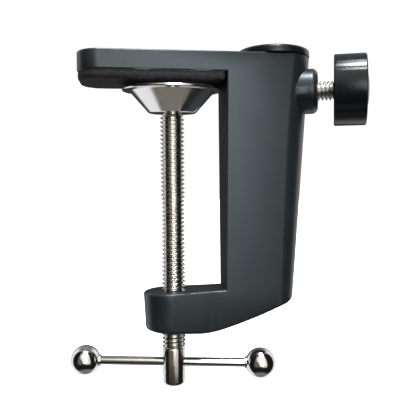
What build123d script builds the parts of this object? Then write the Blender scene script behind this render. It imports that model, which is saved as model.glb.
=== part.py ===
"""Clamp base of an airbrush holder stand: a C-frame with an arm socket, a lock knob and a clamp screw.

Millimetres. +X runs from the clamp screw towards the lock knob and +Z is up. The origin lies on the arm
socket's axis, at the mouth of its bush.
"""

import math
import os

from build123d import *

# Fits
RUN = 0.05            # radial clearance of a shaft that turns or slides in its hole
STEP_GAP = 0.3        # free gap between parts that move past each other without guiding each other
PICK = 0.02           # how near to a level or a plane an edge is to be picked

# Arm socket
ARM_PIN_DIAMETER = 12.0
ARM_PIN_CLEARANCE = 0.075
BUSH_WALL = 1.45
BUSH_DEPTH = 30.0
FLANGE_RADIUS = 12.0
FLANGE_HEIGHT = 2.5
FLANGE_EDGE = 1.1
DRILL_POINT = 2.0
BUSH_LEAD = 0.5

# C-frame
SOCKET_RADIUS = ARM_PIN_DIAMETER / 2 + ARM_PIN_CLEARANCE + BUSH_WALL
SOCKET_FLOOR = -BUSH_DEPTH
FRAME_TOP = -FLANGE_HEIGHT
SCREW_X = -34.1       # clamp screw axis
JAW_TIP_X = SCREW_X - 30.35
JAW_THICKNESS = 6.3
JAW_CORNER = 7.0
THROAT_DEPTH_X = 16.8     # clamp screw axis to the column's inner face
COLUMN_X = SCREW_X + THROAT_DEPTH_X
THROAT_HEIGHT = 70.2      # underside of the upper jaw to the lower jaw, at the column
LOWER_SLOPE = 2.0         # degrees that the lower jaw falls away from the column
HALF_DEPTH_TOP = 11.0
DRAFT = 3.7 / 76.5        # loss of half depth per millimetre of height
BOSS_RADIUS_TOP = 8.95    # round end of the lower jaw
BOSS_RADIUS_LOW = 8.0
BOSS_FLANK = 7.0          # degrees by which the lower jaw narrows towards the column
BOSS_SHIFT = -1.1         # its centre, from the screw axis
LOWER_END_DROP = 93.0     # frame top to a level below the whole lower jaw
LOWER_END_X = SCREW_X - 12.0
BEYOND_X = SCREW_X + 50.0
PLATE_HALF = 30.0
ZONE_SIZE = 60.0          # of the block that clears the way for the lower jaw's round end
SMALL_EDGE = 0.6
UNDER_EDGE = 1.2
UNDERSIDE_DROP = 90.35    # frame top to the lower jaw's underside at the screw
BORE_CHAMFER = 0.5

# Underside of the lower jaw: distance from the screw axis, and below the frame's top
UNDERSIDE_START = 89.75
FLAT_END = (8.5, 90.85)
SWEEP_START = (15.4, 89.85)
SWEEP_END = (38.7, 80.8)
HEEL = (40.6, 77.7)

JAW_UNDER_Z = FRAME_TOP - JAW_THICKNESS
LOWER_JAW_Z = JAW_UNDER_Z - THROAT_HEIGHT     # at the column

# Back of the column: height, centre and radius of its round back
BACK_SECTIONS = (
    (0.0, 0.2, 11.7),
    (22.0, 0.25, 10.15),
    (76.5, -0.8, 7.45),
    (93.5, -1.12, 6.65),
)

# Pad
ADHESIVE_THICKNESS = 0.2
PAD_THICKNESS = 2.5
PAD_INSET = 0.3
PAD_COLUMN_GAP = 0.5

# Clamp screw, 5/16-18 UNC
THREAD_RADIUS = 3.97
THREAD_ROOT_RADIUS = 3.1
THREAD_TOP = FRAME_TOP - 18.85
THREAD_LEAD = 0.7
THREAD_END = FRAME_TOP - 96.6
HEAD_RADIUS = 3.7
HEAD_END = FRAME_TOP - 108.9
HEAD_ROUND = 1.3
HEAD_FLARE = 0.5
NECK_RADIUS = 2.4
NECK_SOCKET_DEPTH = 4.0

# Tommy bar
BAR_Z = FRAME_TOP - 101.3
BAR_RADIUS = 1.5
BALL_RADIUS = 5.0
BALL_SPACING = 59.1
BAR_OFFSET = -0.65
BAR_TURN = -10.7          # degrees about the screw axis
BALL_HOLE_DEPTH = 6.0
COLLAR_RADIUS = 2.0
COLLAR_LENGTH = 0.2

# Pressure cup
CUP_RIM_RADIUS = 16.4
CUP_RIM_TOP = FRAME_TOP - 10.45
CUP_RIM_THICKNESS = 0.9
CUP_CONE_RADIUS = 14.1
CUP_BASE_RADIUS = 7.7
CUP_BASE_BOTTOM = FRAME_TOP - 18.5
CUP_SHEET = 0.8
CUP_INNER_SHIFT = 1.1     # cone's outer to inner radius, for the same sheet
CUP_HOLE_RADIUS = 2.85
CUP_BEND = 1.0
CUP_LEAN = 3.0            # degrees that the loose cup leans forward
WASHER_RADIUS = 4.6
WASHER_THICKNESS = 0.8
WASHER_TOP = CUP_BASE_BOTTOM + CUP_SHEET + STEP_GAP + WASHER_THICKNESS
RIVET_HEAD_RADIUS = 3.9
RIVET_HEAD_HEIGHT = 1.3

# Lock screw, 1/4-20 UNC, and its knob. Distances run outward from the arm socket's axis.
LOCK_TURN = -19.3         # degrees about the socket's axis from +X to the lock screw
LOCK_Z = FRAME_TOP - 11.25
LOCK_BOSS_RADIUS = 7.4
LOCK_BOSS_EDGE = 2.0
LOCK_BOSS_END = 14.8
LOCK_THREAD_RADIUS = 3.175
LOCK_THREAD_LEAD = 0.5
LOCK_POINT = 6.5
LOCK_POINT_RADIUS = 2.3
LOCK_POINT_LENGTH = 2.5
LOCK_POINT_CHAMFER = 0.4
POINT_SPIGOT_RADIUS = 1.4
POINT_SPIGOT_LENGTH = 3.0
BUSH_WINDOW_RADIUS = 3.6
KNOB_START = 20.0
KNOB_END = 30.4
KNOB_RADIUS = 11.6
KNOB_FLUTES = 5
KNOB_FLUTE_ANGLE = 33.4   # first flute's place round the axis, from the front towards +Z
FLUTE_RADIUS = 8.0
FLUTE_DEPTH = 0.25
KNOB_EDGE = 0.5
HEX_ACROSS_FLATS = 11.1
HEX_HEIGHT = 4.4
HEX_FLOOR = 4.0           # plastic between the knob's inner face and the hexagon head
CAP_RADIUS = 7.6
CAP_THICKNESS = 1.4
CAP_CROWN = 0.9


def half_depth(below_top):
    """Half the frame's depth at a distance below its top face."""
    return HALF_DEPTH_TOP - DRAFT * below_top


def revolve_z(points, x=0.0):
    """A solid turned about a vertical axis at x, from its (radius, z) outline."""
    with BuildPart() as turned:
        with BuildSketch(Plane.XZ):
            with BuildLine():
                Polyline(*points, close=True)
            make_face()
        revolve(axis=Axis.Z)
    return turned.part.moved(Location((x, 0, 0)))


def rod(radius, start, end):
    """A round rod from one point to another."""
    axis = Vector(*end) - Vector(*start)
    plane = Plane(origin=start, z_dir=axis)
    return extrude(plane * Circle(radius), axis.length)


# C-frame ---------------------------------------------------------------------------------------------


def from_screw(place):
    """A point of the C-shape, from its distance to the screw axis and below the frame's top."""
    return (SCREW_X + place[0], FRAME_TOP - place[1])


def frame_profile():
    """The C-shape seen from the front, as a plate much deeper than the frame."""
    slope = math.tan(math.radians(LOWER_SLOPE))
    lower_top = LOWER_JAW_Z - (COLUMN_X - LOWER_END_X) * slope
    heel = from_screw(HEEL)
    with BuildPart() as plate:
        with BuildSketch(Plane.XZ):
            with BuildLine():
                Polyline(
                    heel, (BEYOND_X, heel[1]), (BEYOND_X, FRAME_TOP), (JAW_TIP_X, FRAME_TOP),
                    (JAW_TIP_X, JAW_UNDER_Z), (COLUMN_X, JAW_UNDER_Z), (COLUMN_X, LOWER_JAW_Z),
                    (LOWER_END_X, lower_top), (LOWER_END_X, FRAME_TOP - UNDERSIDE_START),
                    from_screw(FLAT_END),
                )
                bend = TangentArc(from_screw(FLAT_END), from_screw(SWEEP_START), tangent=(1, 0))
                sweep_arc = TangentArc(bend @ 1, from_screw(SWEEP_END), tangent=bend % 1)
                TangentArc(sweep_arc @ 1, heel, tangent=sweep_arc % 1)
            make_face()
        extrude(amount=PLATE_HALF, both=True)
    return plate.part


def envelope_section(below_top, centre, radius):
    """The frame's plan at one height: straight sides and a round back."""
    half = half_depth(below_top)
    crease = centre + math.sqrt(radius ** 2 - half ** 2)
    start = JAW_TIP_X - 10.0
    with BuildSketch(Plane.XY.offset(FRAME_TOP - below_top)) as plan:
        with BuildLine():
            Polyline((crease, half), (start, half), (start, -half), (crease, -half))
            ThreePointArc((crease, -half), (centre + radius, 0), (crease, half))
        make_face()
    return plan.sketch


def envelope():
    """The tapered outer shape that the C is cut from."""
    sections = [envelope_section(*row) for row in BACK_SECTIONS]
    return loft([section.faces()[0] for section in sections], ruled=True)


def lower_boss_section(radius, z):
    """Plan of the lower jaw: a round end round the screw, narrowing into the column."""
    flank = math.radians(BOSS_FLANK)
    centre = SCREW_X + BOSS_SHIFT
    reach = COLUMN_X + 2.0
    touch_x = centre + radius * math.sin(flank)
    touch_y = radius * math.cos(flank)
    root_y = touch_y - (reach - touch_x) * math.tan(flank)
    with BuildSketch(Plane.XY.offset(z)) as plan:
        with BuildLine():
            Polyline((touch_x, touch_y), (reach, root_y), (reach, -root_y), (touch_x, -touch_y))
            ThreePointArc((touch_x, -touch_y), (centre - radius, 0), (touch_x, touch_y))
        make_face()
    return plan.sketch


def lower_boss():
    """The lower jaw's tapered block."""
    high = lower_boss_section(BOSS_RADIUS_TOP, LOWER_JAW_Z + 1.0)
    low = lower_boss_section(BOSS_RADIUS_LOW, FRAME_TOP - LOWER_END_DROP)
    return loft([high.faces()[0], low.faces()[0]], ruled=True)


def spans(edge):
    """The edge's bounding box as lows and highs."""
    box = edge.bounding_box()
    return box.min, box.max


def lies_between(edge, low_z, high_z):
    """Whether the whole edge is between two levels."""
    low, high = spans(edge)
    return low.Z > low_z and high.Z < high_z


def is_rim_edge(edge):
    """An edge of the frame's top face."""
    return lies_between(edge, FRAME_TOP - PICK, FRAME_TOP + PICK)


def is_bottom_edge(edge):
    """An edge of the lower jaw's underside, all round it."""
    low, high = spans(edge)
    below = high.Z < LOWER_JAW_Z - 0.5 and edge.center().Z < LOWER_JAW_Z - 3.5
    rises = high.Z - low.Z > 11
    across = abs(edge.center().Y) < 0.5 and edge.center().X > SCREW_X
    return below and not rises and not across and high.X - low.X > 0.3


def is_throat_edge(edge):
    """An edge round the throat: under the upper jaw, up the column and along the lower jaw."""
    low, high = spans(edge)
    under_jaw = lies_between(edge, JAW_UNDER_Z - PICK, JAW_UNDER_Z + PICK)
    under_jaw = under_jaw and edge.center().X < COLUMN_X - 1
    upright = high.Z - low.Z > THROAT_HEIGHT / 2
    column = upright and abs(low.X - COLUMN_X) < PICK and abs(high.X - COLUMN_X) < PICK
    on_lower = lies_between(edge, LOWER_JAW_Z - 1.1, LOWER_JAW_Z + 0.1) and high.X - low.X > 1
    return under_jaw or column or on_lower


def is_hole_edge(edge):
    """An edge of the arm socket's or the screw bore's mouth."""
    low, high = spans(edge)
    in_socket = max(abs(low.X), abs(high.X), abs(low.Y), abs(high.Y)) < SOCKET_RADIUS + 0.1
    reach = THREAD_RADIUS + RUN + BORE_CHAMFER + 0.1
    in_bore = max(abs(low.X - SCREW_X), abs(high.X - SCREW_X), abs(low.Y), abs(high.Y)) < reach
    return in_socket or in_bore


def turned_to_lock(shape):
    """Turns a shape that was built along +X to the lock screw's direction."""
    return Rot(0, 0, LOCK_TURN) * shape


def along_lock(radius, start, end):
    """A round rod at the lock screw's height, built along +X."""
    return rod(radius, (start, 0, LOCK_Z), (end, 0, LOCK_Z))


def frame_bores():
    """The arm socket, the lock screw's hole and the clamp screw's bore."""
    socket = revolve_z([
        (0, FRAME_TOP + 1), (SOCKET_RADIUS, FRAME_TOP + 1), (SOCKET_RADIUS, SOCKET_FLOOR),
        (0, SOCKET_FLOOR - DRILL_POINT),
    ])
    lock_hole = turned_to_lock(along_lock(LOCK_THREAD_RADIUS + RUN, 0, LOCK_BOSS_END + 1))
    bore = THREAD_RADIUS + RUN
    mouth = bore + BORE_CHAMFER
    high = LOWER_JAW_Z + 3
    low = FRAME_TOP - LOWER_END_DROP
    jaw_top = LOWER_JAW_Z - THROAT_DEPTH_X * math.tan(math.radians(LOWER_SLOPE))
    jaw_bottom = FRAME_TOP - UNDERSIDE_DROP
    screw_hole = revolve_z([
        (0, high), (mouth, high), (mouth, jaw_top), (bore, jaw_top - BORE_CHAMFER),
        (bore, jaw_bottom + BORE_CHAMFER), (mouth, jaw_bottom), (mouth, low), (0, low),
    ], SCREW_X)
    return socket, lock_hole, screw_hole


def make_clamp_frame():
    """The casting. Every union and bore comes before the fillets."""
    plate = frame_profile()
    body = plate & envelope()
    free_zone = Box(ZONE_SIZE, ZONE_SIZE, ZONE_SIZE)
    zone_place = Pos(SCREW_X + BOSS_SHIFT - ZONE_SIZE / 2, 0, FRAME_TOP - LOWER_END_DROP)
    body = body - zone_place * free_zone + (plate & lower_boss())

    lock_boss = along_lock(LOCK_BOSS_RADIUS, BACK_SECTIONS[0][1], LOCK_BOSS_END)
    lock_boss = fillet(lock_boss.edges().sort_by(Axis.X)[-1], LOCK_BOSS_EDGE)
    body = body + turned_to_lock(lock_boss)
    for bore in frame_bores():
        body = body - bore

    tips = [edge for edge in body.edges() if edge.center().X < JAW_TIP_X + 0.5]
    tips = [edge for edge in tips if spans(edge)[1].Y - spans(edge)[0].Y < 1]
    body = fillet(tips, JAW_CORNER)
    for chosen, radius in (
        (is_rim_edge, SMALL_EDGE),
        (is_bottom_edge, UNDER_EDGE),
        (is_throat_edge, SMALL_EDGE),
    ):
        edges = [edge for edge in body.edges() if chosen(edge) and not is_hole_edge(edge)]
        body = fillet(edges, radius)
    return body


def make_socket_bush():
    """The flanged bush that guides the arm, with a window for the lock screw's point."""
    bore = ARM_PIN_DIAMETER / 2 + ARM_PIN_CLEARANCE
    bush = revolve_z([
        (bore + BUSH_LEAD, 0), (FLANGE_RADIUS, 0), (FLANGE_RADIUS, FRAME_TOP), (SOCKET_RADIUS, FRAME_TOP),
        (SOCKET_RADIUS, SOCKET_FLOOR), (bore, SOCKET_FLOOR), (bore, -BUSH_LEAD),
    ])
    circles = bush.edges().filter_by(GeomType.CIRCLE)
    outer = [edge for edge in circles if edge.radius > FLANGE_RADIUS - 0.1 and edge.center().Z > -0.1]
    bush = fillet(outer, FLANGE_EDGE)
    return bush - turned_to_lock(along_lock(BUSH_WINDOW_RADIUS, 0, FLANGE_RADIUS + 1))


# Pad -------------------------------------------------------------------------------------------------


def jaw_layer(top, thickness):
    """A sheet under the upper jaw, with the jaw's rounded tip."""
    start = JAW_TIP_X + PAD_INSET
    end = COLUMN_X - PAD_COLUMN_GAP
    width = 2 * (half_depth(JAW_THICKNESS) - PAD_INSET)
    sheet = Pos((start + end) / 2, 0, top - thickness / 2) * Box(end - start, width, thickness)
    tips = sheet.edges().filter_by(Axis.Z).sort_by(Axis.X)[:2]
    return fillet(tips, JAW_CORNER - PAD_INSET)


def make_pad_adhesive():
    return jaw_layer(JAW_UNDER_Z, ADHESIVE_THICKNESS)


def make_jaw_pad():
    return jaw_layer(JAW_UNDER_Z - ADHESIVE_THICKNESS, PAD_THICKNESS)


# Clamp screw and cup ---------------------------------------------------------------------------------


def bar_axis_point(along):
    """A point on the tommy bar's axis, measured from the clamp screw's axis."""
    turn = math.radians(BAR_TURN)
    return (SCREW_X + along * math.cos(turn), along * math.sin(turn), BAR_Z)


def make_clamp_screw():
    """The spindle: thread at its major diameter, round end and the tommy bar's cross hole."""
    neck = NECK_RADIUS + RUN
    body = revolve_z([
        (0, THREAD_TOP - NECK_SOCKET_DEPTH), (neck, THREAD_TOP - NECK_SOCKET_DEPTH), (neck, THREAD_TOP),
        (THREAD_RADIUS - THREAD_LEAD, THREAD_TOP), (THREAD_RADIUS, THREAD_TOP - THREAD_LEAD),
        (THREAD_RADIUS, THREAD_END + THREAD_LEAD), (THREAD_ROOT_RADIUS, THREAD_END),
        (HEAD_RADIUS, THREAD_END - HEAD_FLARE),
        (HEAD_RADIUS, HEAD_END), (0, HEAD_END),
    ], SCREW_X)
    end_edge = body.edges().filter_by(GeomType.CIRCLE).sort_by(Axis.Z)[0]
    body = fillet(end_edge, HEAD_ROUND)
    through = 2 * HEAD_RADIUS
    return body - rod(BAR_RADIUS + RUN, bar_axis_point(-through), bar_axis_point(through))


def make_screw_rivet():
    """The spindle's own turned-down end: a spigot, a neck through the cup and a peened head."""
    head_low = WASHER_TOP + RUN
    head_high = head_low + RIVET_HEAD_HEIGHT
    rivet = revolve_z([
        (0, THREAD_TOP - NECK_SOCKET_DEPTH + RUN), (NECK_RADIUS, THREAD_TOP - NECK_SOCKET_DEPTH + RUN),
        (NECK_RADIUS, head_low), (RIVET_HEAD_RADIUS, head_low), (RIVET_HEAD_RADIUS, head_high),
        (0, head_high),
    ], SCREW_X)
    crown = rivet.edges().filter_by(GeomType.CIRCLE).sort_by(Axis.Z)[-1]
    return fillet(crown, RIVET_HEAD_HEIGHT * 0.7)


def make_cup_washer():
    """The washer under the peened head, which the cup hangs from."""
    return revolve_z([
        (NECK_RADIUS + RUN, WASHER_TOP), (WASHER_RADIUS, WASHER_TOP),
        (WASHER_RADIUS, WASHER_TOP - WASHER_THICKNESS), (NECK_RADIUS + RUN, WASHER_TOP - WASHER_THICKNESS),
    ], SCREW_X)


def make_pressure_cup():
    """A pressed cup: flat rim, cone and flat base with the spindle's hole."""
    base_top = CUP_BASE_BOTTOM + CUP_SHEET
    rim_low = CUP_RIM_TOP - CUP_RIM_THICKNESS
    inner_cone = CUP_CONE_RADIUS - CUP_INNER_SHIFT
    inner_base = CUP_BASE_RADIUS - CUP_INNER_SHIFT
    cup = revolve_z([
        (CUP_HOLE_RADIUS, CUP_BASE_BOTTOM), (CUP_BASE_RADIUS, CUP_BASE_BOTTOM), (CUP_CONE_RADIUS, rim_low),
        (CUP_RIM_RADIUS, rim_low), (CUP_RIM_RADIUS, CUP_RIM_TOP), (inner_cone, CUP_RIM_TOP),
        (inner_base, base_top), (CUP_HOLE_RADIUS, base_top),
    ], SCREW_X)
    circles = cup.edges().filter_by(GeomType.CIRCLE)
    base = [edge for edge in circles if abs(edge.radius - CUP_BASE_RADIUS) < 0.01]
    cup = fillet(base, CUP_BEND)
    rims = [edge for edge in cup.edges().filter_by(GeomType.CIRCLE) if edge.radius > CUP_RIM_RADIUS - 0.01]
    cup = fillet(rims, CUP_RIM_THICKNESS * 0.35)
    pivot = Pos(SCREW_X, 0, WASHER_TOP)
    return pivot * Rot(CUP_LEAN, 0, 0) * pivot.inverse() * cup


def make_tommy_bar():
    """The bar itself, with its ends inside the balls."""
    half = BALL_SPACING / 2 - BALL_RADIUS + BALL_HOLE_DEPTH
    return rod(BAR_RADIUS, bar_axis_point(BAR_OFFSET - half), bar_axis_point(BAR_OFFSET + half))


def make_bar_ball(side):
    """A ball pressed on the bar, with a short collar where the bar enters. side is -1 or +1."""
    middle = BAR_OFFSET + side * BALL_SPACING / 2
    face = middle - side * (BALL_RADIUS + COLLAR_LENGTH)
    ball = Pos(*bar_axis_point(middle)) * Sphere(BALL_RADIUS)
    collar = rod(COLLAR_RADIUS, bar_axis_point(face), bar_axis_point(middle))
    hole_end = middle - side * (BALL_RADIUS - BALL_HOLE_DEPTH)
    hole = rod(BAR_RADIUS, bar_axis_point(face - side), bar_axis_point(hole_end))
    return ball + collar - hole


# Lock screw and knob ---------------------------------------------------------------------------------


def hexagon_prism(start, height):
    """A hexagon bar on the lock screw's axis, built along +X."""
    plane = Plane(origin=(start, 0, LOCK_Z), z_dir=(1, 0, 0))
    return extrude(plane * RegularPolygon(HEX_ACROSS_FLATS / 2, 6, major_radius=False), height)


def make_lock_screw():
    """The stud, its hexagon head in the knob and the bore for its point's spigot."""
    start = LOCK_POINT + LOCK_POINT_LENGTH
    head_start = KNOB_START + HEX_FLOOR
    shank = along_lock(LOCK_THREAD_RADIUS, start, head_start + 1)
    shank = chamfer(shank.edges().sort_by(Axis.X)[0], LOCK_THREAD_LEAD)
    spigot_hole = along_lock(POINT_SPIGOT_RADIUS + RUN, start - 1, start + POINT_SPIGOT_LENGTH + RUN)
    return turned_to_lock(shank + hexagon_prism(head_start, HEX_HEIGHT) - spigot_hole)


def make_lock_screw_tip():
    """The stud's plain end: a dog point on a spigot in the thread's core."""
    shoulder = LOCK_POINT + LOCK_POINT_LENGTH
    point = along_lock(LOCK_POINT_RADIUS, LOCK_POINT, shoulder - RUN)
    point = chamfer(point.edges().sort_by(Axis.X)[0], LOCK_POINT_CHAMFER)
    spigot = along_lock(POINT_SPIGOT_RADIUS, LOCK_POINT + 1, shoulder + POINT_SPIGOT_LENGTH)
    return turned_to_lock(point + spigot)


def make_lock_knob():
    """Five lobes, parted by narrow flutes, with a hexagon pocket behind a round recess for the cap."""
    body = along_lock(KNOB_RADIUS, KNOB_START, KNOB_END)
    reach = KNOB_RADIUS + FLUTE_RADIUS - FLUTE_DEPTH
    for index in range(KNOB_FLUTES):
        angle = math.radians(KNOB_FLUTE_ANGLE + index * 360 / KNOB_FLUTES)
        y = -reach * math.cos(angle)
        z = LOCK_Z + reach * math.sin(angle)
        body = body - rod(FLUTE_RADIUS, (KNOB_START - 1, y, z), (KNOB_END + 1, y, z))
    outer = [edge for edge in body.edges() if spans(edge)[1].X - spans(edge)[0].X < PICK]
    body = fillet(outer, KNOB_EDGE)
    body = body - along_lock(LOCK_THREAD_RADIUS, KNOB_START - 1, KNOB_END)
    body = body - hexagon_prism(KNOB_START + HEX_FLOOR, KNOB_END)
    return turned_to_lock(body - along_lock(CAP_RADIUS, KNOB_END - CAP_THICKNESS, KNOB_END + 1))


def make_knob_cap():
    """A shallow domed cap in the knob's outer face."""
    sphere_radius = (CAP_RADIUS ** 2 + CAP_CROWN ** 2) / (2 * CAP_CROWN)
    blank = along_lock(CAP_RADIUS, KNOB_END - CAP_THICKNESS, KNOB_END + CAP_CROWN)
    sphere = Pos(KNOB_END + CAP_CROWN - sphere_radius, 0, LOCK_Z) * Sphere(sphere_radius)
    return turned_to_lock(blank & sphere)


NODES = {
    "clamp_frame": make_clamp_frame,
    "socket_bush": make_socket_bush,
    "pad_adhesive": make_pad_adhesive,
    "jaw_pad": make_jaw_pad,
    "clamp_screw": make_clamp_screw,
    "screw_rivet": make_screw_rivet,
    "cup_washer": make_cup_washer,
    "pressure_cup": make_pressure_cup,
    "tommy_bar": make_tommy_bar,
    "bar_ball_left": lambda: make_bar_ball(-1),
    "bar_ball_right": lambda: make_bar_ball(1),
    "lock_screw": make_lock_screw,
    "lock_screw_tip": make_lock_screw_tip,
    "lock_knob": make_lock_knob,
    "knob_cap": make_knob_cap,
}

if __name__ == "__main__":
    os.makedirs("parts", exist_ok=True)
    for name, make in NODES.items():
        export_step(make(), f"parts/{name}.step")
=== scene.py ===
"""The looks of a bench clamp that holds an airbrush stand's arm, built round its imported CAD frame.

Metres, in the frame of the CAD part: +X runs from the clamp screw to the lock knob, +Z is up, and the
origin is the arm socket's mouth. Lengths are written in millimetres and multiplied by MM.
"""

import math

import bmesh
import bpy
import numpy as np
from mathutils import Matrix, Vector, noise


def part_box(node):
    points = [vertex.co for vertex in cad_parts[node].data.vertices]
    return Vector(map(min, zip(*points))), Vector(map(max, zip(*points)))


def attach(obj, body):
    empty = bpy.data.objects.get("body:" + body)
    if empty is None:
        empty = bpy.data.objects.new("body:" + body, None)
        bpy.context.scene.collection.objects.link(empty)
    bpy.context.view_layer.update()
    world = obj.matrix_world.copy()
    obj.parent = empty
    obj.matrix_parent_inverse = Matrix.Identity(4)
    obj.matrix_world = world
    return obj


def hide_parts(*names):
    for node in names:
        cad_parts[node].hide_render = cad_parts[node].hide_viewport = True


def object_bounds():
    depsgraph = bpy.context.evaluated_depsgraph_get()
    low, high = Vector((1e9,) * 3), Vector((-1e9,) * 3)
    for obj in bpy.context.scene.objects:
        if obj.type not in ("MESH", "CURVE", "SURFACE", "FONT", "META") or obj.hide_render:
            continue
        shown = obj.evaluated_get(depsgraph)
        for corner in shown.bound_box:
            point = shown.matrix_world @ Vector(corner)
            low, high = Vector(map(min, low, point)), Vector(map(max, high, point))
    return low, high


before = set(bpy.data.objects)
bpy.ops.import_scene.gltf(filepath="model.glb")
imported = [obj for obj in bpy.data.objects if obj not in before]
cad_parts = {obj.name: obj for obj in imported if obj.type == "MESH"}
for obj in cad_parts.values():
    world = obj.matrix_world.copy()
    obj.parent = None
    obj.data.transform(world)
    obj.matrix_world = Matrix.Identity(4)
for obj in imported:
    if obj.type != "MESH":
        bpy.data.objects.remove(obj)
cad_low, cad_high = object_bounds()

MM = 0.001
AXIS_X = Vector((1, 0, 0))
AXIS_Z = Vector((0, 0, 1))

# Camera, placed from the clamp screw's axis at the frame's top face
CAMERA_OFFSET = Vector((-10.93, -189.76, -42.97)) * MM
CAMERA_YAW = 0.1190
CAMERA_PITCH = 0.0361
CAMERA_ROLL = -0.0051
CAMERA_LENS = 49.36
SENSOR_WIDTH = 36.0

# Clamp screw, 5/16-18 UNC, and lock screw, 1/4-20 UNC
SCREW_PITCH = 1.4111 * MM
SCREW_THREAD_LENGTH = 77.75 * MM
SCREW_RUN = 58 * MM          # room under the handle for the screw to be opened
SCREW_HEAD_RADIUS = 3.7 * MM
SCREW_HEAD_ROUND = 1.3 * MM
LOCK_PITCH = 1.27 * MM
THREAD_DEPTH = 0.60          # of one pitch
RUN = 0.05 * MM

# Tommy bar
BAR_RADIUS = 1.5 * MM
BAR_TURN = math.radians(-10.7)
BALL_RADIUS = 5.0 * MM
COLLAR_RADIUS = 2.0 * MM
COLLAR_REACH = 5.2 * MM

# Lock screw and knob, with distances outward from the arm socket's axis
LOCK_TURN = math.radians(-19.3)
LOCK_DIRECTION = Vector((math.cos(LOCK_TURN), math.sin(LOCK_TURN), 0))
LOCK_RADIUS = 3.175 * MM
LOCK_POINT = 6.5 * MM
LOCK_POINT_LENGTH = 2.5 * MM
KNOB_START = 20.0 * MM
KNOB_END = 30.4 * MM
KNOB_RADIUS = 11.6 * MM
KNOB_EDGE = 0.5 * MM
KNOB_FLUTES = 5
KNOB_FLUTE_ANGLE = 33.4
FLUTE_RADIUS = 8.0 * MM
FLUTE_DEPTH = 0.25 * MM
HEX_FLOOR = 4.0 * MM
HEX_HEIGHT = 4.4 * MM
HEX_CORNER = 6.41 * MM
CAP_RADIUS = 7.6 * MM
CAP_THICKNESS = 1.4 * MM
CAP_CROWN = 0.9 * MM

# Pressure cup
CUP_LEAN = math.radians(3.0)
CUP_PIVOT = 19.1 * MM
CUP_BASE = 21.0 * MM


# Room round the object: colours by azimuth in degrees, 0 on the camera's side and + to its right
WHITE = (0.95, 0.95, 0.97)
BLACK = (0.01, 0.01, 0.01)
BROWN = (0.16, 0.145, 0.125)
CREAM = (0.9, 0.88, 0.84)
LOW_FRONT = (0.012, 0.012, 0.012)
NADIR = (0.21, 0.195, 0.17)
BACKDROP_STRENGTH = 1.05
FLOOR_HALF = 6.0
ROOM_BANDS = (
    (-180, WHITE), (-112, WHITE), (-100, BLACK), (-62, BLACK), (-50, BROWN), (4, BROWN),
    (10, CREAM), (36, CREAM), (44, BLACK), (100, BLACK), (112, WHITE), (180, WHITE),
)
# Round soft lamps and dark screens: azimuth, height, inner and outer radius in degrees, colour
LAMPS = (
    (180, 0, 30, 42, (0.04, 0.04, 0.04)),
    (180, 65, 25, 45, (0.25, 0.26, 0.27)),
    (-6, 40, 0, 40, (1.3, 1.25, 1.15)),
    (2, 6, 0, 22, (5.2, 5.2, 5.2)),
    (10, 74, 8, 13, (46.0, 47.0, 48.0)),
)


# Meshes ----------------------------------------------------------------------------------------------


def mesh_object(name, points, faces, sharp_degrees=32):
    """A smooth-shaded object that keeps its hard edges."""
    mesh = bpy.data.meshes.new(name)
    mesh.from_pydata([tuple(point) for point in points], [], faces)
    made = bpy.data.objects.new(name, mesh)
    bpy.context.scene.collection.objects.link(made)
    tidy_mesh(made, sharp_degrees)
    return made


def tidy_mesh(thing, sharp_degrees=32, weld=1e-7):
    """Welds the mesh, turns its faces outwards and shades it smooth."""
    work = bmesh.new()
    work.from_mesh(thing.data)
    bmesh.ops.remove_doubles(work, verts=work.verts, dist=weld)
    bmesh.ops.dissolve_degenerate(work, edges=work.edges, dist=weld)
    bmesh.ops.recalc_face_normals(work, faces=work.faces)
    work.to_mesh(thing.data)
    work.free()
    for face in thing.data.polygons:
        face.use_smooth = True
    thing.data.set_sharp_from_angle(angle=math.radians(sharp_degrees))


def axes_across(direction):
    """Two unit vectors square to a direction."""
    helper = AXIS_Z if abs(direction.z) < 0.9 else AXIS_X
    first = direction.cross(helper).normalized()
    return first, direction.cross(first)


def rounded(corners, closed=True, steps=6):
    """An outline with its corners rounded. Each corner is (a, b, radius)."""
    count = len(corners)
    points = []
    for index, (a, b, radius) in enumerate(corners):
        here = Vector((a, b))
        at_end = not closed and index in (0, count - 1)
        if radius == 0 or at_end:
            points.append(here)
            continue
        before = Vector(corners[index - 1][:2]) - here
        after = Vector(corners[(index + 1) % count][:2]) - here
        before.normalize()
        after.normalize()
        half = before.angle(after) / 2
        cut = radius / math.tan(half)
        centre = here + (before + after).normalized() * (radius / math.sin(half))
        start = here + before * cut - centre
        end = here + after * cut - centre
        turn = start.angle_signed(end)
        for step in range(steps + 1):
            angle = -turn * step / steps
            spoke = Vector((
                start.x * math.cos(angle) - start.y * math.sin(angle),
                start.x * math.sin(angle) + start.y * math.cos(angle),
            ))
            points.append(centre + spoke)
    return points


def lathe(name, outline, origin, direction, segments=96, closed=True, sharp_degrees=32):
    """Turns an outline of (radius, distance along) points round an axis.
    An open outline starts and ends on the axis."""
    first, second = axes_across(direction)
    points = []
    for segment in range(segments):
        angle = 2 * math.pi * segment / segments
        spoke = first * math.cos(angle) + second * math.sin(angle)
        points += [origin + spoke * radius + direction * along for radius, along in outline]
    size = len(outline)
    faces = []
    last = size if closed else size - 1
    for segment in range(segments):
        low = segment * size
        high = (segment + 1) % segments * size
        for index in range(last):
            following = (index + 1) % size
            faces.append((low + index, low + following, high + following, high + index))
    return mesh_object(name, points, faces, sharp_degrees)


def thread_radius(turn, major, pitch):
    """Radius of a 60 degree thread at a fraction of a turn of its helix."""
    phase = abs(turn - math.floor(turn) - 0.5) * 2
    crest, root = 0.13, 0.80
    fall = min(max((phase - crest) / (root - crest), 0.0), 1.0)
    return major - THREAD_DEPTH * pitch * fall


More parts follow.
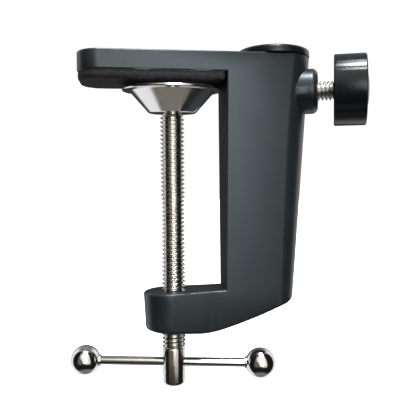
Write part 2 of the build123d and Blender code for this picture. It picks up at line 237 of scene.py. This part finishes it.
def threaded_rod(
    name, origin, direction, length, major, pitch, start_radius, end_radius, columns=56, rows=14
):
    """A closed rod with a right-hand helical thread that fades out into a plain radius at each end."""
    first, second = axes_across(direction)
    count = int(length / pitch * rows)
    points = []
    for row in range(count + 1):
        along = length * row / count
        fade_in = min(along / (0.55 * pitch), 1.0)
        fade_out = min((length - along) / (0.8 * pitch), 1.0)
        for column in range(columns):
            angle = 2 * math.pi * column / columns
            radius = thread_radius(along / pitch - column / columns, major, pitch)
            radius = start_radius + (radius - start_radius) * fade_in
            radius = end_radius + (radius - end_radius) * fade_out
            spoke = first * math.cos(angle) + second * math.sin(angle)
            points.append(origin + spoke * radius + direction * along)
    faces = []
    for row in range(count):
        for column in range(columns):
            right = (column + 1) % columns
            low, high = row * columns, (row + 1) * columns
            faces.append((low + column, low + right, high + right, high + column))
    faces.append(tuple(range(columns)))
    faces.append(tuple(count * columns + column for column in range(columns)))
    return mesh_object(name, points, faces, 50)


def cut(piece, tool, sharp_degrees=32):
    """Takes the tool's shape out of the piece, and removes the tool."""
    modifier = piece.modifiers.new("cut", "BOOLEAN")
    modifier.operation = "DIFFERENCE"
    modifier.solver = "EXACT"
    modifier.object = tool
    bpy.context.view_layer.update()
    shape = piece.evaluated_get(bpy.context.evaluated_depsgraph_get())
    mesh = bpy.data.meshes.new_from_object(shape)
    piece.modifiers.clear()
    piece.data = mesh
    bpy.data.objects.remove(tool)
    tidy_mesh(piece, sharp_degrees)


def lock_point(along):
    """A point on the lock screw's axis."""
    return LOCK_DIRECTION * along + AXIS_Z * centre_of("lock_screw").z


def centre_of(node):
    """The middle of a CAD node's box."""
    low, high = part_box(node)
    return (low + high) / 2


def settle(piece, body, slot, material, *nodes):
    """Gives a piece its body and its finish, and hides the CAD nodes that it stands for. The slot is not
    used.
    """
    piece.data.materials.clear()
    piece.data.materials.append(material)
    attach(piece, body)
    if nodes:
        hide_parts(*nodes)


# Materials -------------------------------------------------------------------------------------------


class Finish:
    """A small helper that lays out one procedural material."""

    def __init__(self, name, base, metallic, roughness):
        self.material = bpy.data.materials.new(name)
        self.material.use_nodes = True
        self.tree = self.material.node_tree
        self.shader = self.tree.nodes["Principled BSDF"]
        self.set("Base Color", (*base, 1))
        self.set("Metallic", metallic)
        self.set("Roughness", roughness)
        self.place = self.tree.nodes.new("ShaderNodeTexCoord").outputs["Object"]

    def set(self, socket, value):
        self.shader.inputs[socket].default_value = value

    def link(self, output, node_input):
        self.tree.links.new(output, node_input)

    def noise(self, size_mm, detail=3.0, stretch=(1, 1, 1), roughness=0.5):
        """Noise with features of about size_mm."""
        mapping = self.tree.nodes.new("ShaderNodeMapping")
        mapping.inputs["Scale"].default_value = stretch
        texture = self.tree.nodes.new("ShaderNodeTexNoise")
        texture.inputs["Scale"].default_value = 1 / (size_mm * MM)
        texture.inputs["Detail"].default_value = detail
        texture.inputs["Roughness"].default_value = roughness
        self.link(self.place, mapping.inputs["Vector"])
        self.link(mapping.outputs["Vector"], texture.inputs["Vector"])
        return texture.outputs["Fac"]

    def cells(self, size_mm):
        texture = self.tree.nodes.new("ShaderNodeTexVoronoi")
        texture.inputs["Scale"].default_value = 1 / (size_mm * MM)
        self.link(self.place, texture.inputs["Vector"])
        return texture.outputs["Distance"]

    def remap(self, output, low, high, new_low, new_high):
        node = self.tree.nodes.new("ShaderNodeMapRange")
        limits = (("From Min", low), ("From Max", high), ("To Min", new_low), ("To Max", new_high))
        for name, value in limits:
            node.inputs[name].default_value = value
        self.link(output, node.inputs["Value"])
        return node.outputs["Result"]

    def mix_colours(self, factor, dark, light):
        node = self.tree.nodes.new("ShaderNodeMix")
        node.data_type = "RGBA"
        node.inputs["A"].default_value = (*dark, 1)
        node.inputs["B"].default_value = (*light, 1)
        self.link(factor, node.inputs["Factor"])
        return node.outputs["Result"]

    def bump(self, heights):
        """Stacks bumps, each a (height, depth_mm, strength), on the shader's normal."""
        normal = None
        for height, depth_mm, strength in heights:
            node = self.tree.nodes.new("ShaderNodeBump")
            node.inputs["Distance"].default_value = depth_mm * MM
            node.inputs["Strength"].default_value = strength
            self.link(height, node.inputs["Height"])
            if normal is not None:
                self.link(normal, node.inputs["Normal"])
            normal = node.outputs["Normal"]
        self.link(normal, self.shader.inputs["Normal"])


def frame_paint():
    """Satin blue-grey paint on a die casting: fine texture, slight mottling."""
    finish = Finish("frame_paint", (0.022, 0.027, 0.032), 0.0, 0.4)
    grain = finish.noise(0.35, 4.0)
    patches = finish.noise(9.0, 3.0)
    mottle = finish.remap(patches, 0.3, 0.7, 0, 1)
    finish.link(
        finish.mix_colours(mottle, (0.013, 0.017, 0.021), (0.018, 0.022, 0.026)),
        finish.shader.inputs["Base Color"],
    )
    finish.set("Specular Tint", (0.82, 0.95, 1.0, 1))
    finish.link(finish.remap(grain, 0.3, 0.7, 0.28, 0.38), finish.shader.inputs["Roughness"])
    finish.bump([(finish.noise(4.0, 2.0), 0.03, 0.4), (grain, 0.012, 0.5)])
    return finish.material


def pad_rubber():
    """Matte black foam rubber with fine pores."""
    finish = Finish("pad_rubber", (0.014, 0.014, 0.015), 0.0, 0.85)
    grain = finish.noise(0.30, 6.0)
    pores = finish.cells(0.42)
    speckle = finish.remap(grain, 0.48, 0.68, 0, 1)
    finish.link(
        finish.mix_colours(speckle, (0.004, 0.004, 0.005), (0.045, 0.047, 0.052)),
        finish.shader.inputs["Base Color"],
    )
    finish.set("Specular IOR Level", 0.35)
    finish.link(finish.remap(pores, 0.0, 0.5, 0.95, 0.72), finish.shader.inputs["Roughness"])
    finish.bump([(pores, 0.07, 0.7), (grain, 0.05, 0.8)])
    return finish.material


def chrome(name, polished, dull):
    """Bright chrome with faint polishing haze, between two roughnesses."""
    finish = Finish(name, (0.80, 0.79, 0.78), 1.0, polished)
    haze = finish.noise(1.8, 5.0)
    finish.link(finish.remap(haze, 0.3, 0.7, polished, dull), finish.shader.inputs["Roughness"])
    finish.link(
        finish.mix_colours(finish.remap(haze, 0.35, 0.7, 0, 1), (0.78, 0.77, 0.76), (0.83, 0.825, 0.82)),
        finish.shader.inputs["Base Color"],
    )
    finish.bump([(finish.noise(2.5, 2.0), 0.004, 0.35)])
    return finish.material


def nickel_steel():
    """Nickel plate on the rolled thread: a little warmer and rougher than the chrome."""
    finish = Finish("plated_steel", (0.74, 0.71, 0.67), 1.0, 0.14)
    stain = finish.noise(2.2, 5.0)
    finish.link(finish.remap(stain, 0.3, 0.7, 0.09, 0.22), finish.shader.inputs["Roughness"])
    finish.link(
        finish.mix_colours(finish.remap(stain, 0.35, 0.7, 0, 1), (0.68, 0.645, 0.60), (0.78, 0.755, 0.72)),
        finish.shader.inputs["Base Color"],
    )
    finish.bump([(finish.noise(0.5, 3.0), 0.006, 0.4)])
    return finish.material


def zinc_steel():
    """Bright zinc with a slight green cast."""
    finish = Finish("zinc_steel", (0.70, 0.71, 0.67), 1.0, 0.24)
    stain = finish.noise(1.5, 4.0)
    finish.link(finish.remap(stain, 0.3, 0.7, 0.30, 0.44), finish.shader.inputs["Roughness"])
    finish.link(
        finish.mix_colours(finish.remap(stain, 0.35, 0.7, 0, 1), (0.62, 0.63, 0.58), (0.76, 0.77, 0.74)),
        finish.shader.inputs["Base Color"],
    )
    finish.bump([(finish.noise(0.4, 3.0), 0.006, 0.4)])
    return finish.material


def black_plastic(name, roughness_low, roughness_high):
    """Moulded glossy plastic, with a very slight flow texture."""
    finish = Finish(name, (0.014, 0.017, 0.020), 0.0, roughness_low)
    flow = finish.noise(5.0, 3.0, stretch=(0.4, 1, 1))
    finish.link(
        finish.remap(finish.noise(1.2, 4.0), 0.3, 0.7, roughness_low, roughness_high),
        finish.shader.inputs["Roughness"],
    )
    finish.link(
        finish.mix_colours(finish.remap(flow, 0.3, 0.7, 0, 1), (0.006, 0.008, 0.010), (0.010, 0.013, 0.015)),
        finish.shader.inputs["Base Color"],
    )
    finish.set("Specular IOR Level", 0.3)
    finish.bump([(flow, 0.01, 0.25), (finish.noise(0.3, 3.0), 0.003, 0.3)])
    return finish.material


PAINT = frame_paint()
RUBBER = pad_rubber()
CHROME = chrome("chrome_plate", 0.06, 0.13)
SATIN_CHROME = chrome("satin_chrome", 0.09, 0.15)
NICKEL = nickel_steel()
ZINC = zinc_steel()
KNOB_PLASTIC = black_plastic("knob_plastic", 0.14, 0.24)
BUSH_PLASTIC = black_plastic("bush_plastic", 0.18, 0.30)


# Frame -----------------------------------------------------------------------------------------------


def make_casting():
    """The C-frame, from the CAD solid's own mesh, welded and shaded smooth between its hard edges."""
    casting = bpy.data.objects.new("clamp_casting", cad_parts["clamp_frame"].data.copy())
    bpy.context.scene.collection.objects.link(casting)
    tidy_mesh(casting, 14, weld=2e-6)
    settle(casting, "base", "frame_paint", PAINT, "clamp_frame")
    return casting


def make_bush():
    """The flanged bush in the arm socket, with the lock screw's window."""
    low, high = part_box("socket_bush")
    bore = 6.075 * MM
    sleeve = bore + 1.45 * MM
    flange = (high.x - low.x) / 2
    under = -2.5 * MM
    outline = rounded([
        (bore, 0, 0.5 * MM), (flange, 0, 1.1 * MM), (flange, under, 0.15 * MM), (sleeve, under, 0),
        (sleeve, low.z, 0.3 * MM), (bore, low.z, 0.3 * MM),
    ])
    bush = lathe("arm_bush", outline, Vector((0, 0, 0)), AXIS_Z, 128)
    window = lathe(
        "window", [(0, 0), (3.6 * MM, 0), (3.6 * MM, flange * 2), (0, flange * 2)],
        lock_point(0), LOCK_DIRECTION, 48, closed=False,
    )
    cut(bush, window)
    settle(bush, "base", "bush_plastic", BUSH_PLASTIC, "socket_bush")
    return bush


# Pad -------------------------------------------------------------------------------------------------


def pad_plan(low, high, inset, spacing=0.5 * MM):
    """Evenly spaced points round the pad: two rounded corners at the jaw's tip, two small ones."""
    tip, heel = 6.7 * MM - inset, 0.6 * MM
    corners = [
        (low.x + inset, low.y + inset, tip), (high.x - inset, low.y + inset, heel),
        (high.x - inset, high.y - inset, heel), (low.x + inset, high.y - inset, tip),
    ]
    coarse = rounded(corners, steps=24)
    coarse.append(coarse[0])
    lengths = [0.0]
    for before, after in zip(coarse, coarse[1:]):
        lengths.append(lengths[-1] + (after - before).length)
    count = int(lengths[-1] / spacing)
    spots = np.linspace(0, lengths[-1], count, endpoint=False)
    xs = np.interp(spots, lengths, [point.x for point in coarse])
    ys = np.interp(spots, lengths, [point.y for point in coarse])
    return list(zip(xs, ys))


def make_pad():
    """A foam rubber pad: bonded flat on top, sides that bulge a little, a soft lower edge."""
    low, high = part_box("jaw_pad")
    thickness = high.z - low.z
    plan = pad_plan(low, high, 0.0)
    count = len(plan)
    centre = Vector(((low.x + high.x) / 2, 0))
    half_length = (high.x - low.x) / 2
    spine = half_length - (high.y - low.y) / 2
    rings = []
    for depth, inward in (
        (0.0, 0.12), (0.10, 0.03), (0.25, -0.04), (0.45, -0.08), (0.62, -0.05), (0.75, 0.02),
        (0.86, 0.13), (0.94, 0.30), (0.985, 0.55), (1.0, 1.0), (1.004, 1.8), (1.008, 3.2),
        (1.01, 5.0), (1.01, 7.2),
    ):
        ring = []
        for x, y in plan:
            along = min(max(x - centre.x, -spine), spine) + centre.x
            towards = Vector((along - x, -y))
            reach = min(inward * MM, towards.length * 0.98) if inward > 0 else inward * MM
            step = towards.normalized() * reach
            wobble = noise.noise(Vector((x, y, depth * thickness)) / (2.6 * MM)) * 0.05 * MM
            grain = noise.noise(Vector((x, y, depth * thickness + 1)) / (0.55 * MM)) * 0.02 * MM
            sink = (wobble + grain) * min(depth * 4, 1.0)
            ring.append(Vector((x + step.x, y + step.y, high.z - depth * thickness + sink)))
        rings.append(ring)
    top = [Vector((x, y, high.z)) + Vector((centre.x - x, -y, 0)) * 0.02 for x, y in plan]
    points = [point for ring in [top] + rings for point in ring]
    faces = []
    for row in range(len(rings)):
        for index in range(count):
            after = (index + 1) % count
            a, b = row * count, (row + 1) * count
            faces.append((a + index, a + after, b + after, b + index))
    faces.append(tuple(range(count)))
    faces.append(tuple(len(rings) * count + index for index in range(count)))
    pad = mesh_object("foam_pad", points, faces, 60)
    settle(pad, "base", "pad_rubber", RUBBER, "jaw_pad")
    return pad


# Clamp screw -----------------------------------------------------------------------------------------


def make_screw():
    """The threaded spindle, and its plain head with the cross hole."""
    low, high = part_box("clamp_screw")
    centre = (low + high) / 2
    major = (high.x - low.x) / 2
    thread_low = high.z - SCREW_THREAD_LENGTH
    top = Vector((centre.x, centre.y, high.z))
    thread = threaded_rod(
        "screw_thread", top, -AXIS_Z, SCREW_THREAD_LENGTH, major, SCREW_PITCH,
        major - 0.75 * MM, SCREW_HEAD_RADIUS,
    )
    socket = lathe(
        "socket", [(0, 0), (2.45 * MM, 0), (2.45 * MM, 5 * MM), (0, 5 * MM)],
        Vector((centre.x, centre.y, high.z - 4 * MM)), AXIS_Z, 48, closed=False,
    )
    cut(thread, socket, 50)
    settle(thread, "spindle", "plated_steel", NICKEL)
    outline = rounded([
        (0, 0, 0), (SCREW_HEAD_RADIUS, 0, 0.1 * MM),
        (SCREW_HEAD_RADIUS, thread_low - low.z, SCREW_HEAD_ROUND), (0, thread_low - low.z, 0),
    ], closed=False, steps=10)
    head = lathe(
        "screw_head", outline, Vector((centre.x, centre.y, thread_low)), -AXIS_Z, 96, closed=False
    )
    bar_direction = Vector((math.cos(BAR_TURN), math.sin(BAR_TURN), 0))
    bar_z = centre_of("tommy_bar").z
    tunnel = lathe(
        "tunnel", [(0, 0), (BAR_RADIUS + RUN, 0), (BAR_RADIUS + RUN, 20 * MM), (0, 20 * MM)],
        Vector((centre.x, centre.y, bar_z)) - bar_direction * 10 * MM, bar_direction, 64, closed=False,
    )
    cut(head, tunnel)
    settle(head, "spindle", "plated_steel", NICKEL)
    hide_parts("clamp_screw")
    return thread, head


def make_rivet():
    """The peened end that holds the cup."""
    low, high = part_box("screw_rivet")
    centre = (low + high) / 2
    head_height = 1.3 * MM
    shank_end = high.z - low.z - head_height
    head_radius = (high.x - low.x) / 2
    outline = rounded([
        (0, 0, 0), (2.4 * MM, 0, 0.3 * MM), (2.4 * MM, shank_end, 0), (head_radius, shank_end, 0.15 * MM),
        (head_radius, high.z - low.z, 0.9 * MM), (1.2 * MM, high.z - low.z, 0.5 * MM),
        (0.6 * MM, high.z - low.z - 0.25 * MM, 0.2 * MM), (0, high.z - low.z - 0.25 * MM, 0),
    ], closed=False)
    rivet = lathe("peened_end", outline, Vector((centre.x, centre.y, low.z)), AXIS_Z, 64, closed=False)
    settle(rivet, "screw_end", "plated_steel", NICKEL, "screw_rivet")
    return rivet


def make_washer():
    """The washer that the cup swivels on."""
    low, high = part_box("cup_washer")
    centre = (low + high) / 2
    inner = 2.45 * MM
    outer = (high.x - low.x) / 2
    thick = high.z - low.z
    edge = 0.12 * MM
    outline = rounded([(inner, 0, edge), (outer, 0, edge), (outer, thick, edge * 2), (inner, thick, edge)])
    washer = lathe("swivel_washer", outline, Vector((centre.x, centre.y, low.z)), AXIS_Z, 72)
    settle(washer, "swivel", "zinc_steel", ZINC, "cup_washer")
    return washer


def make_cup():
    """The pressed cup: flat base, cone and a thin flat rim with rounded bends. It leans a little."""
    screw = centre_of("clamp_screw")
    rim, height, sheet, rim_sheet = 16.4 * MM, 8.05 * MM, 0.8 * MM, 0.9 * MM
    cone, base, inward, hole = 14.1 * MM, 7.7 * MM, 1.1 * MM, 2.85 * MM
    outline = rounded([
        (hole, 0, 0.1 * MM), (base, 0, 1.0 * MM), (cone, height - rim_sheet, 0.5 * MM),
        (rim, height - rim_sheet, 0.35 * MM), (rim, height, 0.35 * MM), (cone - inward, height, 1.0 * MM),
        (base - inward, sheet, 0.7 * MM), (hole, sheet, 0.1 * MM),
    ], steps=8)
    pivot = Vector((screw.x, screw.y, -CUP_PIVOT))
    upright = Vector((0, -math.sin(CUP_LEAN), math.cos(CUP_LEAN)))
    cup = lathe("swivel_cup", outline, pivot - upright * (CUP_BASE - CUP_PIVOT), upright, 160)
    settle(cup, "cup", "chrome_plate", SATIN_CHROME, "pressure_cup")
    return cup


# Tommy bar -------------------------------------------------------------------------------------------


def make_bar():
    """The tommy bar and its two balls."""
    bar_low, bar_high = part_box("tommy_bar")
    centre = (bar_low + bar_high) / 2
    direction = Vector((math.cos(BAR_TURN), math.sin(BAR_TURN), 0))
    length = (bar_high.x - bar_low.x - 2 * BAR_RADIUS * abs(direction.y)) / direction.x
    outline = rounded([
        (0, 0, 0), (BAR_RADIUS, 0, 0.3 * MM), (BAR_RADIUS, length, 0.3 * MM), (0, length, 0),
    ], closed=False)
    bar = lathe("handle_bar", outline, centre - direction * length / 2, direction, 64, closed=False)
    settle(bar, "handle", "chrome_plate", CHROME, "tommy_bar")
    for node, side in (("bar_ball_left", -1), ("bar_ball_right", 1)):
        make_ball(node, direction * side, centre, length)
    return bar


def make_ball(node, outward, bar_centre, bar_length):
    """A ball with a short collar and the blind hole that the bar is pressed into."""
    hole_end = bar_length / 2
    low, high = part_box(node)
    ball_z = (low.z + high.z) / 2
    outer_x = high.x if outward.x > 0 else low.x
    middle_x = outer_x - math.copysign(BALL_RADIUS, outward.x)
    middle_along = (middle_x - bar_centre.x) / outward.x
    centre = Vector((bar_centre.x, bar_centre.y, ball_z)) + outward * middle_along
    collar_start = math.sqrt(BALL_RADIUS ** 2 - COLLAR_RADIUS ** 2)
    arc_steps = 48
    start_angle = math.atan2(COLLAR_RADIUS, -collar_start)
    arc = []
    for step in range(arc_steps + 1):
        angle = start_angle * step / arc_steps
        arc.append((BALL_RADIUS * math.sin(angle), BALL_RADIUS * math.cos(angle)))
    tail = rounded([
        (COLLAR_RADIUS, -collar_start, 0), (COLLAR_RADIUS, -COLLAR_REACH, 0.15 * MM),
        (BAR_RADIUS, -COLLAR_REACH, 0.1 * MM), (BAR_RADIUS, hole_end - middle_along, 0),
        (0, hole_end - middle_along, 0),
    ], closed=False, steps=4)
    outline = arc + [tuple(point) for point in tail[1:]]
    ball = lathe(node.replace("bar_ball", "handle_ball"), outline, centre, outward, 96, closed=False)
    settle(ball, "handle", "chrome_plate", CHROME, node)
    return ball


# Lock screw and knob ---------------------------------------------------------------------------------


def knob_outline(radius, inset, per_lobe=64):
    """The lobed section of the knob, drawn in by inset along its own normals. Returns (y, z) pairs."""
    reach = radius + FLUTE_RADIUS - FLUTE_DEPTH
    lip = math.acos((radius ** 2 + reach ** 2 - FLUTE_RADIUS ** 2) / (2 * radius * reach))
    lobe_span = 2 * math.pi / KNOB_FLUTES - 2 * lip
    flute_half = math.asin(radius * math.sin(lip) / FLUTE_RADIUS)
    soft = 0.06 * MM
    section = []
    for flute in range(KNOB_FLUTES):
        middle = math.radians(KNOB_FLUTE_ANGLE) + 2 * math.pi * flute / KNOB_FLUTES
        flute_steps = per_lobe // 3
        for step in range(flute_steps):
            swing = flute_half * (1 - 2 * (step + 0.5) / flute_steps)
            back = FLUTE_RADIUS + inset
            along = reach - back * math.cos(swing)
            across = back * math.sin(swing)
            section.append((middle, along, -across))
        for step in range(per_lobe):
            share = (step + 0.5) / per_lobe
            angle = lip + lobe_span * share
            edge = min(share, 1 - share) * lobe_span * radius
            drop = soft * max(0.0, 1 - edge / (1.2 * MM)) ** 2
            length = radius - inset - drop
            section.append((middle, length * math.cos(angle), length * math.sin(angle)))
    pairs = []
    for middle, along, across in section:
        outward = (-math.cos(middle), math.sin(middle))
        sideways = (math.sin(middle), math.cos(middle))
        pairs.append((outward[0] * along + sideways[0] * across, outward[1] * along + sideways[1] * across))
    return pairs


def make_knob():
    """The lobed knob, dished on its inner face, with a pocket for the hexagon head and the cap."""
    arc = 6
    near_end = []
    for step in range(arc + 1):
        angle = math.pi / 2 * step / arc
        near_end.append((KNOB_EDGE * (1 - math.cos(angle)), KNOB_EDGE * (1 - math.sin(angle))))
    width = KNOB_END - KNOB_START
    ring_places = near_end + [(width - along, inset) for along, inset in reversed(near_end)]
    sections = []
    for along, inset in ring_places:
        sections.append([(KNOB_START + along, y, z) for y, z in knob_outline(KNOB_RADIUS, inset)])
    count = len(sections[0])
    spokes = [math.atan2(z, y) for _, y, z in sections[0]]

    def circle(along, size):
        """A ring of the same number of points, in step with the outer section."""
        return [(along, size * math.cos(spoke), size * math.sin(spoke)) for spoke in spokes]

    recess = KNOB_END - CAP_THICKNESS
    pocket = KNOB_START + HEX_FLOOR
    dish = KNOB_START + 0.35 * MM
    inner_face = [
        circle(KNOB_START, 9.3 * MM), circle(dish, 8.9 * MM), circle(dish, 4.9 * MM),
        circle(KNOB_START, 4.6 * MM), circle(KNOB_START, LOCK_RADIUS),
    ]
    lip = 0.15 * MM
    outer_face = [circle(KNOB_END - lip, CAP_RADIUS), circle(KNOB_END, CAP_RADIUS + lip)]
    bore = [
        circle(pocket, LOCK_RADIUS), circle(pocket, HEX_CORNER), circle(recess, HEX_CORNER),
        circle(recess, CAP_RADIUS),
    ]
    loops = list(reversed(inner_face)) + sections + list(reversed(outer_face)) + list(reversed(bore))
    sideways = LOCK_DIRECTION.cross(AXIS_Z) * -1
    points = [lock_point(along) + sideways * y + AXIS_Z * z for loop in loops for along, y, z in loop]
    faces = []
    for row in range(len(loops)):
        here, there = row * count, (row + 1) % len(loops) * count
        for index in range(count):
            after = (index + 1) % count
            faces.append((here + index, here + after, there + after, there + index))
    knob = mesh_object("lobed_knob", points, faces, 32)
    settle(knob, "lock", "knob_plastic", KNOB_PLASTIC, "lock_knob")
    return knob


def make_cap():
    """The shallow domed disc in the knob's outer face."""
    sphere = (CAP_RADIUS ** 2 + CAP_CROWN ** 2) / (2 * CAP_CROWN)
    edge = 0.12 * MM
    rim = CAP_RADIUS - 0.02 * MM
    edge_angle = math.asin((CAP_RADIUS - edge) / sphere)
    dome = []
    steps = 16
    for step in range(steps + 1):
        angle = edge_angle * (1 - step / steps)
        dome.append((sphere * math.sin(angle), CAP_THICKNESS + CAP_CROWN - sphere * (1 - math.cos(angle))))
    outline = [(0, 0), (rim, 0), (rim, CAP_THICKNESS - edge)] + dome
    cap = lathe("domed_cap", outline, lock_point(KNOB_END - CAP_THICKNESS), LOCK_DIRECTION, 96, closed=False)
    settle(cap, "lock", "knob_plastic", KNOB_PLASTIC, "knob_cap")
    return cap


def make_lock_screw():
    """The knob's threaded stud, and its hexagon head inside the knob."""
    start = LOCK_POINT + LOCK_POINT_LENGTH
    length = KNOB_START + HEX_FLOOR - start
    stud = threaded_rod(
        "lock_stud", lock_point(start), LOCK_DIRECTION, length, LOCK_RADIUS, LOCK_PITCH,
        2.5 * MM, 2.9 * MM, columns=48,
    )
    spigot = lathe(
        "spigot", [(0, 0), (1.45 * MM, 0), (1.45 * MM, 4.05 * MM), (0, 4.05 * MM)],
        lock_point(start - MM), LOCK_DIRECTION, 32, closed=False,
    )
    cut(stud, spigot, 50)
    settle(stud, "lock", "zinc_steel", ZINC)
    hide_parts("lock_screw")
    outline = rounded([
        (0, 0, 0), (HEX_CORNER, 0, 0.2 * MM), (HEX_CORNER, HEX_HEIGHT, 0.4 * MM), (0, HEX_HEIGHT, 0),
    ], closed=False)
    head = lathe(
        "stud_head", outline, lock_point(KNOB_START + HEX_FLOOR), LOCK_DIRECTION, 6,
        closed=False, sharp_degrees=25,
    )
    settle(head, "lock", "zinc_steel", ZINC)
    return stud, head


def make_lock_tip():
    """The stud's dog point, with its spigot."""
    radius, spigot = 2.3 * MM, 1.4 * MM
    shoulder = LOCK_POINT_LENGTH - RUN
    end = LOCK_POINT_LENGTH + 3.0 * MM
    outline = rounded([
        (0, 0, 0), (radius, 0, 0.5 * MM), (radius, shoulder, 0.1 * MM), (spigot, shoulder, 0),
        (spigot, end, 0.2 * MM), (0, end, 0),
    ], closed=False)
    tip = lathe("dog_point", outline, lock_point(LOCK_POINT), LOCK_DIRECTION, 48, closed=False)
    settle(tip, "lock_point", "zinc_steel", ZINC, "lock_screw_tip")
    return tip


# Surroundings ----------------------------------------------------------------------------------------


def make_world():
    """A white room for the camera; in reflections, a studio: white behind, dark sides, a lit front."""
    world = bpy.data.worlds.new("studio")
    bpy.context.scene.world = world
    world.use_nodes = True
    tree = world.node_tree
    tree.nodes.clear()
    output = tree.nodes.new("ShaderNodeOutputWorld")
    coordinates = tree.nodes.new("ShaderNodeTexCoord")
    split = tree.nodes.new("ShaderNodeSeparateXYZ")
    tree.links.new(coordinates.outputs["Generated"], split.inputs["Vector"])

    def maths(operation, first, second=None):
        node = tree.nodes.new("ShaderNodeMath")
        node.operation = operation
        for socket, value in zip(node.inputs, (first, second)):
            if value is None:
                continue
            if isinstance(value, (int, float)):
                socket.default_value = value
            else:
                tree.links.new(value, socket)
        return node.outputs["Value"]

    def mix(factor, first, colour):
        """The first colour, turned into another by a factor."""
        node = tree.nodes.new("ShaderNodeMix")
        node.data_type = "RGBA"
        node.inputs["B"].default_value = (*colour, 1)
        tree.links.new(factor, node.inputs["Factor"])
        tree.links.new(first, node.inputs["A"])
        return node.outputs["Result"]

    def smooth_range(value, low, high):
        node = tree.nodes.new("ShaderNodeMapRange")
        node.interpolation_type = "SMOOTHSTEP"
        node.inputs["From Min"].default_value = low
        node.inputs["From Max"].default_value = high
        tree.links.new(value, node.inputs["Value"])
        return node.outputs["Result"]

    def toward(azimuth_degrees, height_degrees):
        """How closely a direction points to a place in the room. Azimuth 0 is the camera's side."""
        azimuth, height = math.radians(azimuth_degrees), math.radians(height_degrees)
        aim = Vector((
            math.sin(azimuth) * math.cos(height), -math.cos(azimuth) * math.cos(height), math.sin(height),
        ))
        node = tree.nodes.new("ShaderNodeVectorMath")
        node.operation = "DOT_PRODUCT"
        node.inputs[1].default_value = aim
        tree.links.new(coordinates.outputs["Generated"], node.inputs[0])
        return node.outputs["Value"]

    def lamp(room, azimuth, height, inner, outer, colour):
        """Adds a round soft lamp, bright out to inner degrees and gone at outer degrees."""
        closeness = toward(azimuth, height)
        edge = math.cos(math.radians(outer))
        core = math.cos(math.radians(inner))
        return mix(smooth_range(closeness, edge, core), room, colour)

    forward = maths("MULTIPLY", split.outputs["Y"], -1.0)
    azimuth = maths("ARCTAN2", split.outputs["X"], forward)
    share = maths("ADD", maths("DIVIDE", azimuth, 2 * math.pi), 0.5)
    ramp = tree.nodes.new("ShaderNodeValToRGB")
    tree.links.new(share, ramp.inputs["Fac"])
    elements = ramp.color_ramp.elements
    while len(elements) < len(ROOM_BANDS):
        elements.new(0.5)
    for element, (degrees, colour) in zip(elements, ROOM_BANDS):
        element.position = degrees / 360 + 0.5
        element.color = (*colour, 1)
    front = smooth_range(forward, -0.02, 0.12)
    low_front = maths("MULTIPLY", front, smooth_range(split.outputs["Z"], -0.20, -0.45))
    room = mix(low_front, ramp.outputs["Color"], LOW_FRONT)
    room = mix(smooth_range(split.outputs["Z"], -0.80, -0.95), room, NADIR)
    for placement in LAMPS:
        room = lamp(room, *placement)
    reflected = tree.nodes.new("ShaderNodeBackground")
    tree.links.new(room, reflected.inputs["Color"])
    plain = tree.nodes.new("ShaderNodeBackground")
    plain.inputs["Color"].default_value = (1, 1, 1, 1)
    plain.inputs["Strength"].default_value = BACKDROP_STRENGTH
    rays = tree.nodes.new("ShaderNodeLightPath")
    choice = tree.nodes.new("ShaderNodeMixShader")
    tree.links.new(rays.outputs["Is Camera Ray"], choice.inputs["Fac"])
    tree.links.new(reflected.outputs["Background"], choice.inputs[1])
    tree.links.new(plain.outputs["Background"], choice.inputs[2])
    tree.links.new(choice.outputs["Shader"], output.inputs["Surface"])


def make_floor():
    """A large pale floor, low enough to stay clear of the handle when the screw is run down."""
    size = FLOOR_HALF
    z = cad_low.z - SCREW_RUN
    corners = [(-size, -size, z), (size, -size, z), (size, size, z), (-size, size, z)]
    floor = mesh_object("floor", corners, [(0, 1, 2, 3)])
    finish = Finish("floor", (0.9, 0.9, 0.9), 0.0, 0.8)
    finish.set("Emission Color", (1, 1, 1, 1))
    finish.set("Emission Strength", 0.75)
    finish.link(
        finish.mix_colours(finish.noise(120.0, 2.0), (0.89, 0.89, 0.89), (0.91, 0.91, 0.91)),
        finish.shader.inputs["Base Color"],
    )
    floor.data.materials.append(finish.material)
    floor.visible_glossy = False
    floor.visible_diffuse = False


def make_camera():
    """The camera, close in front of the clamp screw and turned a little to its right."""
    lens = bpy.data.cameras.new("camera")
    lens.lens = CAMERA_LENS
    lens.sensor_width = SENSOR_WIDTH
    lens.clip_start = 0.01
    camera = bpy.data.objects.new("camera", lens)
    bpy.context.scene.collection.objects.link(camera)
    screw_low, screw_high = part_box("clamp_screw")
    frame_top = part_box("clamp_frame")[1].z
    base = Vector(((screw_low.x + screw_high.x) / 2, 0, frame_top))
    forward = Vector((
        math.sin(CAMERA_YAW) * math.cos(CAMERA_PITCH), math.cos(CAMERA_YAW) * math.cos(CAMERA_PITCH),
        -math.sin(CAMERA_PITCH),
    ))
    right = Vector((math.cos(CAMERA_YAW), -math.sin(CAMERA_YAW), 0))
    up = right.cross(forward)
    turned_right = right * math.cos(CAMERA_ROLL) + up * math.sin(CAMERA_ROLL)
    turned_up = up * math.cos(CAMERA_ROLL) - right * math.sin(CAMERA_ROLL)
    turn = Matrix((turned_right, turned_up, -forward)).transposed().to_4x4()
    camera.matrix_world = Matrix.Translation(base + CAMERA_OFFSET) @ turn
    bpy.context.scene.camera = camera


make_camera()
make_world()
make_floor()
bpy.context.scene.view_settings.view_transform = "Standard"

make_casting()
make_bush()
make_pad()
make_screw()
make_rivet()
make_washer()
make_cup()
make_bar()
make_knob()
make_cap()
make_lock_screw()
make_lock_tip()
adhesive = Finish("adhesive", (0.02, 0.02, 0.02), 0.0, 0.6)
adhesive.bump([(adhesive.noise(0.8, 3.0), 0.02, 0.4)])
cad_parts["pad_adhesive"].data.materials.clear()
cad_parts["pad_adhesive"].data.materials.append(adhesive.material)
